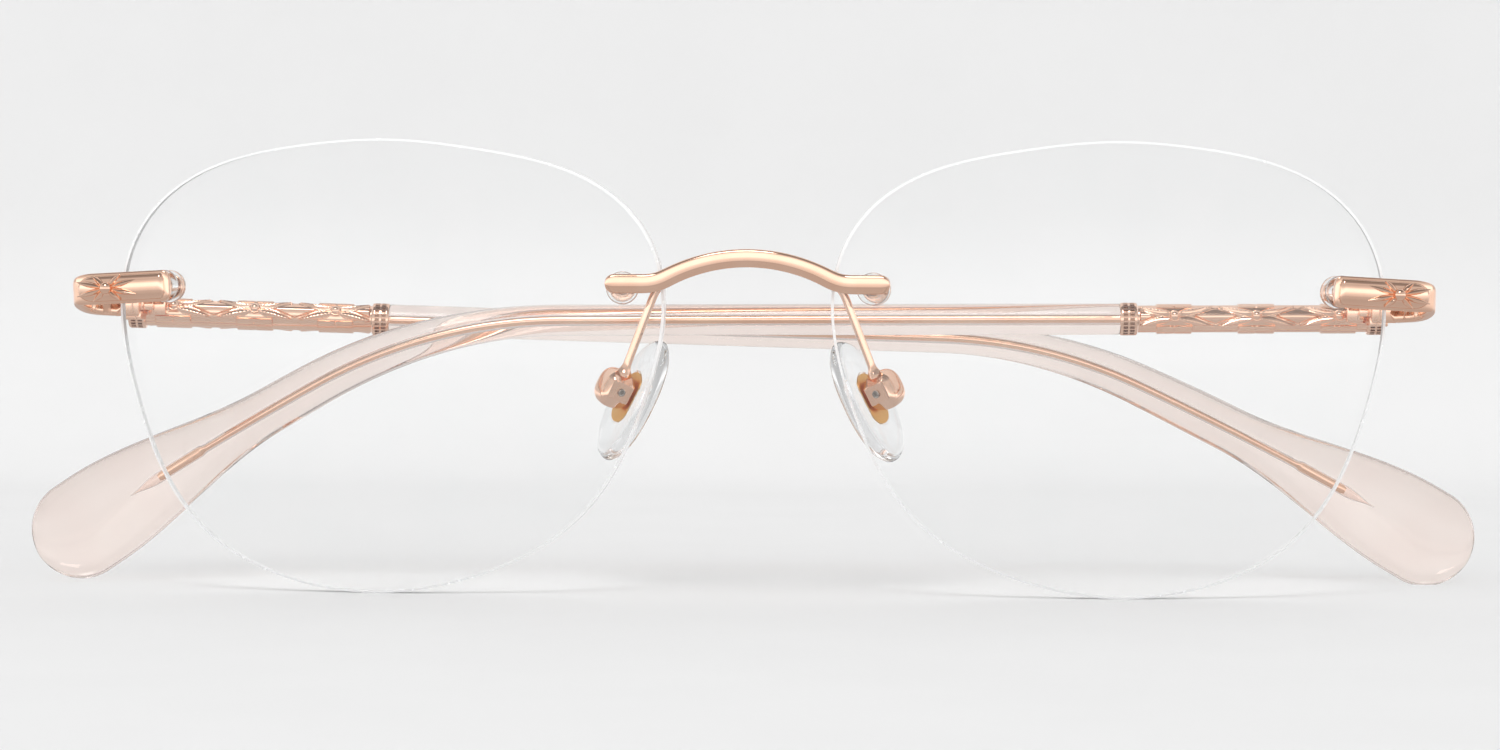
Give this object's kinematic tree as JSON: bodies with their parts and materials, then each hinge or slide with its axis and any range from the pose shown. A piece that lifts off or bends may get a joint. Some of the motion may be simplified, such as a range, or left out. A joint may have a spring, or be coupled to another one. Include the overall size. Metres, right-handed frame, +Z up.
{
  "type": "eyeglasses",
  "caption": "Rimless eyeglasses with clear drilled lenses, a metal bridge, decorated hinged temples with clear sleeves and adjustable nose pads, folded.",
  "frame": {"origin": "on the surface it stands on, under the middle of its overall box", "axes": "+X across the front towards the wearer's left, -Y out of the lens fronts, +Z up"},
  "size_m": [0.1511, 0.0243, 0.0463],
  "materials": {
    "lens": "polished, clear",
    "rose_gold": "polished rose-gold plate",
    "insert_gold": "satin yellow-gold plate",
    "screw_steel": "fine turned",
    "pad_silicone": "clear, glossy",
    "clear_plastic": "clear, glossy",
    "blush_acetate": "polished, see-through blush"
  },
  "bodies": {
    "front": {"lens_right": "lens", "lens_left": "lens", "bridge": "rose_gold", "pad_arm_right": "rose_gold", "pad_arm_left": "rose_gold", "pad_box_right": "rose_gold", "pad_box_left": "rose_gold", "pad_screw_right": "screw_steel", "pad_screw_left": "screw_steel", "endpiece_right": "rose_gold", "endpiece_left": "rose_gold", "star_right": "rose_gold", "star_left": "rose_gold", "lens_screws": "rose_gold", "lens_bushings": "clear_plastic", "front_washers": "clear_plastic", "rear_washers": "clear_plastic", "lens_nuts": "rose_gold", "hinge_screw_right": "screw_steel", "hinge_screw_left": "screw_steel"},
    "temple_right": {"hinge_leaf_right": "rose_gold", "tube_right": "rose_gold", "front_collar_right": "rose_gold", "rear_collar_right": "rose_gold", "tube_beads_right": "rose_gold", "core_wire_right": "rose_gold", "sleeve_right": "blush_acetate"},
    "temple_left": {"hinge_leaf_left": "rose_gold", "tube_left": "rose_gold", "front_collar_left": "rose_gold", "rear_collar_left": "rose_gold", "tube_beads_left": "rose_gold", "core_wire_left": "rose_gold", "sleeve_left": "blush_acetate"},
    "pad_right": {"nose_pad_right": "pad_silicone", "pad_insert_right": "insert_gold"},
    "pad_left": {"nose_pad_left": "pad_silicone", "pad_insert_left": "insert_gold"}
  },
  "joints": [
    {"name": "temple_right_hinge", "type": "hinge", "parent": "front", "child": "temple_right", "pos_m": [-0.0642, 0.0008, 0.0282], "axis": [0, 0, 1], "range_deg": [0, 87]},
    {"name": "temple_left_hinge", "type": "hinge", "parent": "front", "child": "temple_left", "pos_m": [0.0642, 0.0008, 0.0282], "axis": [0, 0, -1], "range_deg": [0, 91]},
    {"name": "pad_right_rock", "type": "hinge", "parent": "front", "child": "pad_right", "pos_m": [-0.01368, -0.00535, 0.02085], "axis": [-0.4982, 0.829, 0.2539], "range_deg": [-6, 6]},
    {"name": "pad_left_rock", "type": "hinge", "parent": "front", "child": "pad_left", "pos_m": [0.01368, -0.00535, 0.02085], "axis": [0.4982, 0.829, 0.2539], "range_deg": [-6, 6]}
  ]
}
